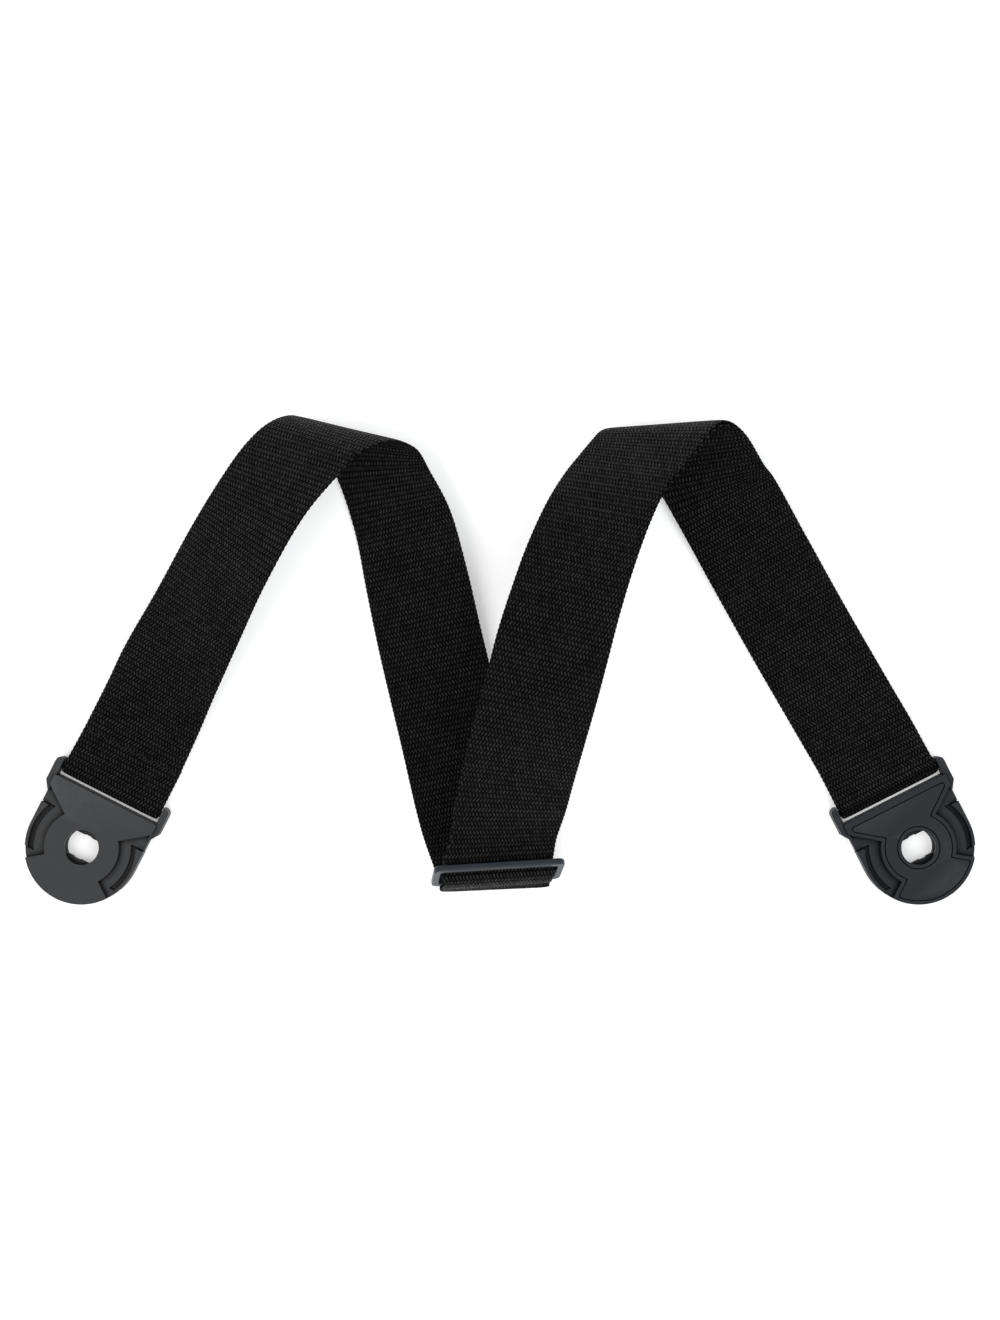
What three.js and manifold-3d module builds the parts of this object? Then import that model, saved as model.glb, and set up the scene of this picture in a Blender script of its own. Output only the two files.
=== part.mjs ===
// A 50 mm webbing guitar strap with two moulded locking ends and a moulded length slider, lying on a table
// in the shape of an M. Millimetres, +Z up, +X from the left end to the right end, +Y towards the two peaks.
import * as THREE from "three";
import { mergeVertices } from "three/addons/utils/BufferGeometryUtils.js";
import Module from "manifold-3d";

const wasm = await Module();
wasm.setup();

// ---------------------------------------------------------------- driving dimensions
const GAP = 0.3; // clearance between pieces that touch

// webbing
const WEBBING_WIDTH = 50;
const WEBBING_THICKNESS = 1.5;
const LAYER_PITCH = WEBBING_THICKNESS + GAP; // from one layer's middle to the next
const STRIP_COLUMNS = 2; // facets across the webbing
const STRIP_STEPS = 3; // facets along it between two crossings
const TAIL_LENGTH = 22; // sewn tail, from the left bar to its cut end

// locking end, in its own frame: x across, y towards the webbing, z out of its outer face, 0 at the button hole
const END_RADIUS = 26.5; // round tip, about the button hole
const END_HALF_WIDTH = 26.5;
const PLATE_TOP = 25; // y of the plate's edge at the webbing slot
const LUG_INNER = 25.8; // x of the lugs' inner faces
const LUG_OUTER = 29.2;
const LUG_BOTTOM = 17;
const LUG_TOP = 33.6;
const LUG_HALF_HEIGHT = 3.5;
const BAR_SEAT = 1.8; // how far the bar reaches into each lug
const BAR_Y = 30.1;
const BAR_RADIUS = 1.6;
const HOLE_RADIUS = 8.1;
const FACE_Z = 4.5; // outer and inner faces stand at + and - this height
const POCKET_Z = 2.1; // floor of the finger pockets
const POCKET_HALF_ANGLE = 37;
const POCKET_RADIUS = 17.4;
const CHANNEL_Z = 1.3; // half height of the space between the shells that holds the jaws
const FLOOR_RADIUS = 22.7; // the pocket floor stops here, under the grips
const GRIP_RADIUS = 25; // inner side of the raised lip of a grip
const GRIP_HALF_WIDTH = 11;
const GRIP_Z = 3.9;
const TONGUE_Z = 1;
const WEB_RADIUS = 21.5; // inner side of the web that joins a grip's lip to its tongue
const WEB_ROOM = 2.3; // the grip's travel and 0.3 to spare, behind the web
const TONGUE_TIP_X = 10.4;
const TONGUE_TIP_HALF = 3;
const TONGUE_HALF = 7.5;
const CAM_SLOPE = 1.2; // jaw travel for each millimetre of grip travel
const JAW_FLAT_Y = 5.5; // half the opening between the jaws at rest
const JAW_BACK_Y = 12.5;
const JAW_HALF_WIDTH = 15.5;
const JAW_NOTCH_HALF = 1.6;
const JAW_NOTCH_DEPTH = 0.4;
const JAW_TRAVEL = 2.4;
const SPRING_END_Y = 18;
const SPRING_RADIUS = 0.72;
const SPRING_WIRE = 0.28;
const SPRING_TURNS = 5;

// where the two ends lie
const END_HOLE_X = 194.6;
const END_HOLE_Y = -87.2;
const END_TURN = 26.9; // degrees that each end leans towards the middle

// slider, in its own frame: x across, y up along the frame, z out of its front
const SLIDER_CENTRE = new THREE.Vector3(-1, -97.9, 15.9);
const SLIDER_ACROSS = new THREE.Vector3(1, 0.045, -0.15);
const SLIDER_TILT = 64; // degrees from the table
const SLIDER_WIDTH = 60.5;
const SLIDER_HEIGHT = 21;
const SLIDER_THICKNESS = 3;
const SLIDER_SIDE_BAR = 3.4;
const SLIDER_BAR = 3.5; // width of the upper and lower bars
const SLIDER_CENTRE_BAR_RADIUS = 1.2;
const SLIDER_CORNER = 3;

// ---------------------------------------------------------------- solids and meshes
function solid(geometry) {
  const bare = geometry.index ? geometry.toNonIndexed() : geometry.clone();
  bare.deleteAttribute("normal");
  bare.deleteAttribute("uv");
  const merged = mergeVertices(bare, 1e-4);
  return new wasm.Manifold(
    new wasm.Mesh({
      numProp: 3,
      vertProperties: merged.attributes.position.array,
      triVerts: new Uint32Array(merged.index.array),
    }),
  );
}

function geometryOf(manifold) {
  const mesh = manifold.getMesh();
  const geometry = new THREE.BufferGeometry();
  geometry.setAttribute("position", new THREE.BufferAttribute(mesh.vertProperties, 3));
  geometry.setIndex(new THREE.BufferAttribute(mesh.triVerts, 1));
  geometry.computeVertexNormals();
  return geometry;
}

function extrude(shape, low, high, curveSegments = 12) {
  const geometry = new THREE.ExtrudeGeometry(shape, {
    depth: high - low,
    bevelEnabled: false,
    curveSegments,
  });
  return solid(geometry.translate(0, 0, low));
}

function box(x0, x1, y0, y1, z0, z1) {
  const geometry = new THREE.BoxGeometry(x1 - x0, y1 - y0, z1 - z0);
  return solid(geometry.translate((x0 + x1) / 2, (y0 + y1) / 2, (z0 + z1) / 2));
}

function disc(radius, low, high, segments = 48) {
  const geometry = new THREE.CylinderGeometry(radius, radius, high - low, segments);
  geometry.rotateX(Math.PI / 2).translate(0, 0, (low + high) / 2);
  return solid(geometry);
}

function bar(radius, length, y, segments = 20) {
  const geometry = new THREE.CylinderGeometry(radius, radius, length, segments);
  geometry.rotateZ(Math.PI / 2).translate(0, y, 0);
  return solid(geometry);
}

// A wedge about the +x axis (side 1) or the -x axis (side -1), from the centre out past the rim.
function sector(side, halfAngle, low, high) {
  const a = THREE.MathUtils.degToRad(halfAngle);
  const reach = 60;
  const shape = new THREE.Shape();
  shape.moveTo(0, 0);
  shape.lineTo(side * reach * Math.cos(a), -side * reach * Math.sin(a));
  shape.lineTo(side * reach * Math.cos(a), side * reach * Math.sin(a));
  return extrude(shape, low, high);
}

const PLASTIC_DARK = { color: 0x47484a, roughness: 0.55, metalness: 0 };
const PLASTIC_SLATE = { color: 0x353d43, roughness: 0.5, metalness: 0 };
const STEEL = { color: 0xb5b8bc, roughness: 0.35, metalness: 1 };
const WEBBING = { color: 0x1b1b1d, roughness: 0.9, metalness: 0 };

function piece(name, geometry, finish) {
  const mesh = new THREE.Mesh(geometry, new THREE.MeshStandardMaterial(finish));
  mesh.name = name;
  return mesh;
}

// ---------------------------------------------------------------- locking end
// The D-shaped outline: a half circle about the hole, straight sides, and a square end at the slot.
function endOutline(top) {
  const shape = new THREE.Shape();
  shape.absarc(0, 0, END_RADIUS, Math.PI, 2 * Math.PI, false);
  shape.lineTo(END_HALF_WIDTH, top);
  shape.lineTo(-END_HALF_WIDTH, top);
  return shape;
}

// One rounded lug of the webbing loop, on side 1 or -1.
function lug(side, low, high) {
  const round = 3;
  const points = [
    [LUG_INNER, LUG_BOTTOM],
    [END_HALF_WIDTH, LUG_BOTTOM],
    [LUG_OUTER, LUG_BOTTOM + 4],
    [LUG_OUTER, LUG_TOP - round],
    [LUG_OUTER - round / 3, LUG_TOP - round / 3],
    [LUG_INNER, LUG_TOP],
  ];
  const shape = new THREE.Shape(points.map(([x, y]) => new THREE.Vector2(side * x, y)));
  return extrude(shape, low, high);
}

function pockets(low, high) {
  const ring = disc(POCKET_RADIUS, low - 1, high + 1);
  return sector(1, POCKET_HALF_ANGLE, low, high).add(sector(-1, POCKET_HALF_ANGLE, low, high)).subtract(ring);
}

// The space that both grips and both jaws move in, and the notches for the grips at the rim.
function mechanismSpace() {
  const half = TONGUE_HALF + 0.4;
  const reach = 40;
  const jawY = JAW_BACK_Y + JAW_TRAVEL + 0.7;
  const springX = SPRING_RADIUS + 0.7;
  const webs = box(-reach, reach, -GRIP_HALF_WIDTH - 0.4, GRIP_HALF_WIDTH + 0.4, -CHANNEL_Z, CHANNEL_Z);
  const space = [
    box(-reach, reach, -half, half, -CHANNEL_Z, CHANNEL_Z),
    webs.subtract(disc(WEB_RADIUS - WEB_ROOM, -FACE_Z, FACE_Z)),
    box(-JAW_HALF_WIDTH - 0.4, JAW_HALF_WIDTH + 0.4, -jawY, jawY, -CHANNEL_Z, CHANNEL_Z),
    box(-springX, springX, -SPRING_END_Y - 0.2, SPRING_END_Y + 0.2, -CHANNEL_Z, CHANNEL_Z),
  ];
  const notch = GRIP_HALF_WIDTH + 0.4;
  const core = disc(FLOOR_RADIUS, -FACE_Z - 2, FACE_Z + 2);
  space.push(box(-reach, reach, -notch, notch, -FACE_Z - 1, FACE_Z + 1).subtract(core));
  return space.reduce((whole, next) => whole.add(next));
}

function innerShell() {
  const seam = -GAP / 2;
  const plate = extrude(endOutline(PLATE_TOP), -FACE_Z, seam, 40);
  const cuts = [disc(HOLE_RADIUS, -FACE_Z - 1, 1), pockets(-FACE_Z - 1, -POCKET_Z), mechanismSpace()];
  const body = cuts.reduce((rest, cut) => rest.subtract(cut), plate);
  const loop = bar(BAR_RADIUS, 2 * (LUG_INNER + BAR_SEAT), BAR_Y);
  return [1, -1].reduce((rest, side) => rest.add(lug(side, -LUG_HALF_HEIGHT, seam)), body.add(loop));
}

function outerShell() {
  const seam = GAP / 2;
  const plate = extrude(endOutline(PLATE_TOP), seam, FACE_Z, 40);
  const cuts = [
    disc(HOLE_RADIUS, -1, FACE_Z + 1),
    pockets(POCKET_Z, FACE_Z + 1),
    mechanismSpace(),
  ];
  const body = cuts.reduce((rest, cut) => rest.subtract(cut), plate);
  const caps = [1, -1].reduce((rest, side) => rest.add(lug(side, seam, LUG_HALF_HEIGHT)), body);
  return caps.subtract(bar(BAR_RADIUS + GAP, 2 * (LUG_INNER + BAR_SEAT + GAP), BAR_Y));
}

// A side grip: a raised lip that follows the rim, and a wedge-tipped tongue that reaches in to the jaws.
function grip(side) {
  const reach = box(side > 0 ? 0 : -40, side > 0 ? 40 : 0, -GRIP_HALF_WIDTH, GRIP_HALF_WIDTH, -GRIP_Z, GRIP_Z);
  const block = extrude(endOutline(PLATE_TOP), -GRIP_Z, GRIP_Z, 40).intersect(reach);
  const rim = block.subtract(disc(GRIP_RADIUS, -GRIP_Z - 1, GRIP_Z + 1));
  const web = block
    .intersect(disc(END_RADIUS, -TONGUE_Z, TONGUE_Z))
    .subtract(disc(WEB_RADIUS, -GRIP_Z - 1, GRIP_Z + 1));
  const shoulderX = TONGUE_TIP_X + (TONGUE_HALF - TONGUE_TIP_HALF) / CAM_SLOPE;
  const points = [
    [TONGUE_TIP_X, -TONGUE_TIP_HALF],
    [shoulderX, -TONGUE_HALF],
    [GRIP_RADIUS + 0.4, -TONGUE_HALF],
    [GRIP_RADIUS + 0.4, TONGUE_HALF],
    [shoulderX, TONGUE_HALF],
    [TONGUE_TIP_X, TONGUE_TIP_HALF],
  ];
  const tongue = new THREE.Shape(points.map(([x, y]) => new THREE.Vector2(side * x, y)));
  return rim.add(web).add(extrude(tongue, -TONGUE_Z, TONGUE_Z));
}

// A jaw that stands above the hole's centre (side 1, towards the webbing) or below it (side -1).
function jaw(side) {
  const camX = TONGUE_TIP_X + (JAW_FLAT_Y - TONGUE_TIP_HALF - 0.45) / CAM_SLOPE;
  const camY = JAW_FLAT_Y + (JAW_HALF_WIDTH - camX) * CAM_SLOPE;
  const half = [
    [JAW_NOTCH_HALF, JAW_FLAT_Y + JAW_NOTCH_DEPTH],
    [JAW_NOTCH_HALF, JAW_FLAT_Y],
    [camX, JAW_FLAT_Y],
    [JAW_HALF_WIDTH, camY],
    [JAW_HALF_WIDTH, JAW_BACK_Y],
  ];
  const mirrored = half.map(([x, y]) => [-x, y]).reverse();
  const points = [...half, ...mirrored];
  const shape = new THREE.Shape(points.map(([x, y]) => new THREE.Vector2(x, side * y)));
  return extrude(shape, -TONGUE_Z, TONGUE_Z);
}

class Helix extends THREE.Curve {
  constructor(low, high) {
    super();
    this.low = low;
    this.high = high;
  }
  getPoint(t, target = new THREE.Vector3()) {
    const angle = t * SPRING_TURNS * 2 * Math.PI;
    const y = THREE.MathUtils.lerp(this.low, this.high, t);
    return target.set(SPRING_RADIUS * Math.cos(angle), y, SPRING_RADIUS * Math.sin(angle));
  }
}

function spring(side) {
  const wire = new THREE.Shape();
  wire.absarc(0, 0, SPRING_WIRE, 0, 2 * Math.PI, false);
  const low = JAW_BACK_Y + GAP + SPRING_WIRE;
  const path = side > 0 ? new Helix(low, SPRING_END_Y - SPRING_WIRE) : new Helix(-SPRING_END_Y + SPRING_WIRE, -low);
  return new THREE.ExtrudeGeometry(wire, {
    steps: SPRING_TURNS * 8,
    extrudePath: path,
    curveSegments: 3,
    bevelEnabled: false,
  });
}

function lockingEnd(prefix, finish) {
  const group = new THREE.Group();
  group.add(piece(prefix + "_inner_shell", geometryOf(innerShell()), finish));
  group.add(piece(prefix + "_outer_shell", geometryOf(outerShell()), finish));
  group.add(piece(prefix + "_grip_a", geometryOf(grip(-1)), finish));
  group.add(piece(prefix + "_grip_b", geometryOf(grip(1)), finish));
  group.add(piece(prefix + "_upper_jaw", geometryOf(jaw(1)), finish));
  group.add(piece(prefix + "_lower_jaw", geometryOf(jaw(-1)), finish));
  group.add(piece(prefix + "_upper_spring", spring(1), STEEL));
  group.add(piece(prefix + "_lower_spring", spring(-1), STEEL));
  return group;
}

const leftEnd = lockingEnd("left", PLASTIC_DARK);
leftEnd.position.set(-END_HOLE_X, END_HOLE_Y, FACE_Z);
leftEnd.rotation.z = -THREE.MathUtils.degToRad(END_TURN);

// The right end lies with its inner face up: it is turned over about its own y axis.
const rightEnd = lockingEnd("right", PLASTIC_SLATE);
rightEnd.position.set(END_HOLE_X, END_HOLE_Y, FACE_Z);
rightEnd.rotation.set(0, Math.PI, THREE.MathUtils.degToRad(END_TURN), "ZYX");

// ---------------------------------------------------------------- slider
const sliderX = SLIDER_ACROSS.clone().normalize();
const sliderTilt = THREE.MathUtils.degToRad(SLIDER_TILT);
const sliderUp = new THREE.Vector3(0, Math.cos(sliderTilt), Math.sin(sliderTilt));
const sliderY = sliderUp.addScaledVector(sliderX, -sliderUp.dot(sliderX)).normalize();
const sliderZ = new THREE.Vector3().crossVectors(sliderX, sliderY);
const sliderMatrix = new THREE.Matrix4().makeBasis(sliderX, sliderY, sliderZ).setPosition(SLIDER_CENTRE);

function roundedBox(width, height, round) {
  const x = width / 2 - round;
  const y = height / 2 - round;
  const shape = new THREE.Shape();
  shape.absarc(x, -y, round, -Math.PI / 2, 0, false);
  shape.absarc(x, y, round, 0, Math.PI / 2, false);
  shape.absarc(-x, y, round, Math.PI / 2, Math.PI, false);
  shape.absarc(-x, -y, round, Math.PI, (3 * Math.PI) / 2, false);
  return shape;
}

function sliderFrame() {
  const half = SLIDER_THICKNESS / 2;
  const frame = extrude(roundedBox(SLIDER_WIDTH, SLIDER_HEIGHT, SLIDER_CORNER), -half, half, 6);
  const inner = roundedBox(SLIDER_WIDTH - 2 * SLIDER_SIDE_BAR, SLIDER_HEIGHT - 2 * SLIDER_BAR, 0.6);
  const window = extrude(inner, -half - 1, half + 1, 3);
  return frame.subtract(window).add(bar(SLIDER_CENTRE_BAR_RADIUS, SLIDER_WIDTH - SLIDER_SIDE_BAR, 0, 16));
}

const slider = new THREE.Group();
slider.add(piece("slider_frame", geometryOf(sliderFrame()), PLASTIC_SLATE));
sliderMatrix.decompose(slider.position, slider.quaternion, slider.scale);

// ---------------------------------------------------------------- webbing
// A crossing is the pair of points where a line across the webbing meets its left and right edges.
// Each row gives one crossing, left edge then right edge.
const LEFT_STRAND = [
  [-183.4, -9.5, 3, -139.5, -33, 8],
  [-175.6, 6, 5, -132.5, -18.5, 14],
  [-158.6, 33.2, 12, -118.6, 8.2, 28],
  [-141.7, 60.8, 21.5, -104.5, 34.2, 43],
  [-128, 82, 25.5, -86.5, 64, 50],
];
const FIRST_PEAK = [
  [-117, 98, 24, -71.5, 82, 50],
  [-108, 107.5, 21, -62.5, 92, 47],
  [-101, 111.9, 16.5, -55, 96.5, 43],
  [-96, 113.1, 11, -48.5, 98.5, 38],
  [-92, 111, 6, -42.5, 98, 33],
  [-87, 105.5, 2.8, -37, 95, 29],
];
const MIDDLE_STRAND = [
  [-76, 84, 1.2, -32, 86.5, 26],
  [-68, 59.5, 1.1, -23, 69.5, 20],
  [-62.5, 31.4, 1.1, -15.2, 42.5, 14.5],
  [-56.8, 3.8, 1, -8.8, 15, 9.5],
  [-46.9, -38.3, 0.9, 1.6, -27.3, 4],
  [-37, -80, 0.9, 11.7, -68, 1.4],
  [-31, -97.5, 1.05, 18, -92, 1.1],
];
const LOWER_FOLD = [
  [-29, -103.2, 2.6, 20.8, -102.2, 1.15],
  [-28, -107.2, 8, 23, -105.6, 3.4],
];
// Through the slider, as height along its frame and distance out of its front.
const THROUGH_SLIDER = [
  [-8.7, 3.1],
  [-4, 4.2],
  [0, 4.2],
  [2.8, 2.9],
  [4.5, 0],
  [6.5, -2.7],
  [9, -3.3],
];
const RIGHT_MIDDLE_STRAND = [
  [-22.8, -83.2, 28.5, 26, -82.2, 20.5],
  [-20.7, -67.2, 36, 30, -69.2, 27.5],
  [-17.2, -51, 41.8, 33, -57, 34.2],
  [-11.9, -28.5, 50.2, 37.7, -38, 47.8],
  [-6.3, -7.2, 54.5, 42.6, -19.2, 56],
  [-1.2, 12.8, 55.5, 47.4, 0.3, 61],
  [5.1, 32.4, 51, 52.2, 20.4, 64],
  [12.2, 52, 45.5, 58, 40.5, 64.5],
  [21.2, 71.5, 38.5, 65.7, 61.5, 60],
  [29.3, 84.8, 30.5, 73, 76.3, 54],
];
const SECOND_PEAK = [
  [36, 93.5, 24.5, 81, 85.5, 48.5],
  [42, 101, 19, 89, 96, 42],
  [46, 105.5, 14.5, 96, 104.5, 35],
  [50, 107, 9.5, 102, 108.8, 27.5],
  [54, 104.5, 5, 108, 108, 21],
  [60, 98, 2, 114, 103, 17],
];
const RIGHT_STRAND = [
  [74, 80, 1.2, 122.6, 90, 13],
  [84, 62.5, 1.1, 127, 85.5, 8.5],
  [99, 35, 1.1, 142.5, 59, 3.5],
  [118.6, 0, 1, 162, 24.6, 1.2],
  [139, -35.2, 1, 182.6, -11, 1],
];

// A crossing at a place in a locking end: y towards the webbing, height over the table.
function endCrossing(side, y, height) {
  const turn = THREE.MathUtils.degToRad(END_TURN) * side;
  const along = new THREE.Vector3(-Math.sin(turn), Math.cos(turn), 0);
  const leftwards = new THREE.Vector3(-Math.cos(turn), -Math.sin(turn), 0);
  const middle = new THREE.Vector3(side * END_HOLE_X, END_HOLE_Y, height).addScaledVector(along, y);
  return {
    left: middle.clone().addScaledVector(leftwards, WEBBING_WIDTH / 2),
    right: middle.clone().addScaledVector(leftwards, -WEBBING_WIDTH / 2),
  };
}

// The turn round a loop bar, from one side of the bar to the other; start is 1 above or -1 below.
function roundBar(side, start) {
  const radius = BAR_RADIUS + GAP + WEBBING_THICKNESS / 2;
  const steps = 8;
  return Array.from({ length: steps + 1 }, (_, i) => {
    const angle = (Math.PI * i) / steps;
    const y = BAR_Y - radius * Math.sin(angle);
    return endCrossing(side, y, FACE_Z + start * radius * Math.cos(angle));
  });
}

function sliderCrossing([up, out]) {
  const half = WEBBING_WIDTH / 2 + 0.4;
  return {
    left: new THREE.Vector3(-half, up, out).applyMatrix4(sliderMatrix),
    right: new THREE.Vector3(half, up, out).applyMatrix4(sliderMatrix),
  };
}

function rowCrossing([lx, ly, lz, rx, ry, rz]) {
  return { left: new THREE.Vector3(lx, ly, lz), right: new THREE.Vector3(rx, ry, rz) };
}

// Smooth crossings through the given ones, with a number of steps for each span.
function smooth(crossings, steps) {
  const left = new THREE.CatmullRomCurve3(crossings.map((c) => c.left));
  const right = new THREE.CatmullRomCurve3(crossings.map((c) => c.right));
  const count = (crossings.length - 1) * steps;
  return Array.from({ length: count + 1 }, (_, i) => ({
    left: left.getPoint(i / count),
    right: right.getPoint(i / count),
  }));
}

// The webbing's normal at each crossing, out of the face that shows on the left strand.
function normals(crossings) {
  return crossings.map((here, i) => {
    const before = crossings[Math.max(i - 1, 0)];
    const after = crossings[Math.min(i + 1, crossings.length - 1)];
    const along = after.left.clone().sub(before.left).add(after.right).sub(before.right);
    const leftwards = here.left.clone().sub(here.right);
    return along.cross(leftwards).normalize();
  });
}

function offset(crossings, distance) {
  const out = normals(crossings);
  return crossings.map((c, i) => ({
    left: c.left.clone().addScaledVector(out[i], distance),
    right: c.right.clone().addScaledVector(out[i], distance),
  }));
}

// A closed strip of webbing thickness about the crossings. The front and the back are split along the same
// diagonals, so that layers that lie together stay apart where they twist.
function strip(crossings) {
  const columns = STRIP_COLUMNS + 1;
  const positions = [];
  for (const distance of [WEBBING_THICKNESS / 2, -WEBBING_THICKNESS / 2]) {
    for (const { left, right } of offset(crossings, distance)) {
      for (let k = 0; k < columns; k += 1) {
        positions.push(...left.clone().lerp(right, k / STRIP_COLUMNS).toArray());
      }
    }
  }
  const rows = crossings.length;
  const back = rows * columns;
  const index = [];
  const wall = (b, a) => index.push(a, b, b + back, a, b + back, a + back);
  for (let i = 0; i < rows - 1; i += 1) {
    for (let k = 0; k < STRIP_COLUMNS; k += 1) {
      const a = i * columns + k;
      const c = a + columns;
      index.push(a, a + 1, c + 1, a, c + 1, c);
      index.push(a + back, c + 1 + back, a + 1 + back, a + back, c + back, c + 1 + back);
    }
    wall((i + 1) * columns, i * columns);
    wall((i + 1) * columns - 1, (i + 2) * columns - 1);
  }
  for (let k = 0; k < STRIP_COLUMNS; k += 1) {
    wall(k, k + 1);
    wall((rows - 1) * columns + k + 1, (rows - 1) * columns + k);
  }
  const geometry = new THREE.BufferGeometry();
  geometry.setAttribute("position", new THREE.Float32BufferAttribute(positions, 3));
  geometry.setIndex(index);
  geometry.computeVertexNormals();
  return geometry;
}

const BAR_LOOP_RADIUS = BAR_RADIUS + GAP + WEBBING_THICKNESS / 2;
const LOW_LAYER = FACE_Z - BAR_LOOP_RADIUS; // height of the layer that leaves the underside of a bar
const HIGH_LAYER = FACE_Z + BAR_LOOP_RADIUS;
const STACKED_LAYER = LOW_LAYER + LAYER_PITCH + 0.1; // height of the upper layer once the two lie together

const leftTail = [BAR_Y + TAIL_LENGTH, BAR_Y + 12, BAR_Y + 3].map((y) => endCrossing(-1, y, LOW_LAYER));
const leftLead = [
  endCrossing(-1, BAR_Y + 3, HIGH_LAYER - 0.3),
  endCrossing(-1, BAR_Y + 10, STACKED_LAYER + 1.6),
  endCrossing(-1, BAR_Y + 20, STACKED_LAYER),
];
const throughSlider = THROUGH_SLIDER.map(sliderCrossing);
const toSlider = [...LEFT_STRAND, ...FIRST_PEAK, ...MIDDLE_STRAND, ...LOWER_FOLD].map(rowCrossing);
const fromSlider = [...RIGHT_MIDDLE_STRAND, ...SECOND_PEAK, ...RIGHT_STRAND].map(rowCrossing);
const mainRows = [
  ...leftLead,
  ...toSlider,
  ...throughSlider,
  ...fromSlider,
  endCrossing(1, BAR_Y + 20, LOW_LAYER - 0.1),
  endCrossing(1, BAR_Y + 3, LOW_LAYER),
];
const between = smooth(mainRows, STRIP_STEPS);
const mainPath = [...leftTail, ...roundBar(-1, -1), ...between, ...roundBar(1, -1)];

// The second layer lies behind the first from above the slider, over the second peak, to the right bar.
const behind = offset(between, -LAYER_PITCH);
const sliderExit = STRIP_STEPS * (leftLead.length + toSlider.length + throughSlider.length - 1);
const joint = sliderExit + STRIP_STEPS + 2; // where the slider's sewn end meets the second layer
const secondPath = [
  ...behind.slice(joint, -STRIP_STEPS),
  endCrossing(1, BAR_Y + 10, STACKED_LAYER + 1.6),
  endCrossing(1, BAR_Y + 3, HIGH_LAYER - 0.4),
  endCrossing(1, BAR_Y + 0.4, HIGH_LAYER),
];

// The sewn end: from the joint down behind the slider's upper bar, round its centre bar, and back up.
const CENTRE_LOOP_RADIUS = SLIDER_CENTRE_BAR_RADIUS + GAP + WEBBING_THICKNESS / 2;
const centreTurn = [10, 55, 100, 145, 190, 235].map((degrees) => {
  const angle = THREE.MathUtils.degToRad(degrees);
  return sliderCrossing([CENTRE_LOOP_RADIUS * Math.cos(angle), CENTRE_LOOP_RADIUS * Math.sin(angle)]);
});
const sewnFront = offset(between, -1.3 * LAYER_PITCH);
const sewnBack = offset(between, -2.6 * LAYER_PITCH);
const sewnStart = {
  left: sewnFront[joint - 1].left.clone().lerp(sewnFront[joint].left, 0.9),
  right: sewnFront[joint - 1].right.clone().lerp(sewnFront[joint].right, 0.9),
};
const sewnPath = [
  sewnStart,
  ...sewnFront.slice(sliderExit, joint).reverse(),
  ...smooth([sliderCrossing([5.8, -5]), sliderCrossing([3, -2.4]), ...centreTurn, sliderCrossing([2.4, -4.9])], 2),
  ...sewnBack.slice(sliderExit, joint - 1),
];

// A row of stitches across the webbing: one thread that runs from side to side with a small wave.
class StitchRow extends THREE.Curve {
  constructor(place, waves, amplitude, halfWidth) {
    super();
    Object.assign(this, { place, waves, amplitude, halfWidth });
  }
  getPoint(t, target = new THREE.Vector3()) {
    const across = THREE.MathUtils.lerp(-this.halfWidth, this.halfWidth, t);
    return target.copy(this.place(across, this.amplitude * Math.sin(2 * Math.PI * this.waves * t)));
  }
}

const THREAD_RADIUS = 0.35;
const STITCH_HALF_WIDTH = 23;
const STITCH_WAVES = 9;
const STITCH_Y = BAR_Y + 20;

function stitchRow(name, place) {
  const thread = new THREE.Shape();
  thread.absarc(0, 0, THREAD_RADIUS, 0, 2 * Math.PI, false);
  const path = new StitchRow(place, STITCH_WAVES, 0.8, STITCH_HALF_WIDTH);
  const geometry = new THREE.ExtrudeGeometry(thread, {
    steps: STITCH_WAVES * 6,
    extrudePath: path,
    curveSegments: 3,
    bevelEnabled: false,
  });
  return piece(name, geometry, WEBBING);
}

function onLeftEnd(across, along) {
  const height = STACKED_LAYER + WEBBING_THICKNESS / 2 + GAP + THREAD_RADIUS;
  const { left, right } = endCrossing(-1, STITCH_Y + along, height);
  return left.lerp(right, 0.5 + across / WEBBING_WIDTH);
}

function behindSlider(across, along) {
  const depth = 2.75 * LAYER_PITCH + WEBBING_THICKNESS / 2 + GAP + THREAD_RADIUS;
  const [lower, upper] = offset(between, -depth).slice(sliderExit + 2, sliderExit + 4);
  const t = 0.5 + along / lower.left.distanceTo(upper.left);
  const left = lower.left.clone().lerp(upper.left, t);
  const right = lower.right.clone().lerp(upper.right, t);
  return left.lerp(right, 0.5 + across / WEBBING_WIDTH);
}

const strap = new THREE.Group();
strap.add(leftEnd, rightEnd, slider);
strap.add(piece("webbing", strip(mainPath), WEBBING));
strap.add(piece("webbing_second_layer", strip(secondPath), WEBBING));
strap.add(piece("slider_sewn_end", strip(sewnPath), WEBBING));
strap.add(stitchRow("left_stitching", onLeftEnd));
strap.add(stitchRow("slider_stitching", behindSlider));

export default strap;
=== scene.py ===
"""The guitar strap as it lies on the table: woven webbing, moulded locking ends and a moulded slider.

The frame is the CAD's: metres, +Z up from the table, +X to the right end, +Y to the two folds.
"""

import math

import bmesh
import bpy
import numpy as np
from mathutils import Matrix, Vector


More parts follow.
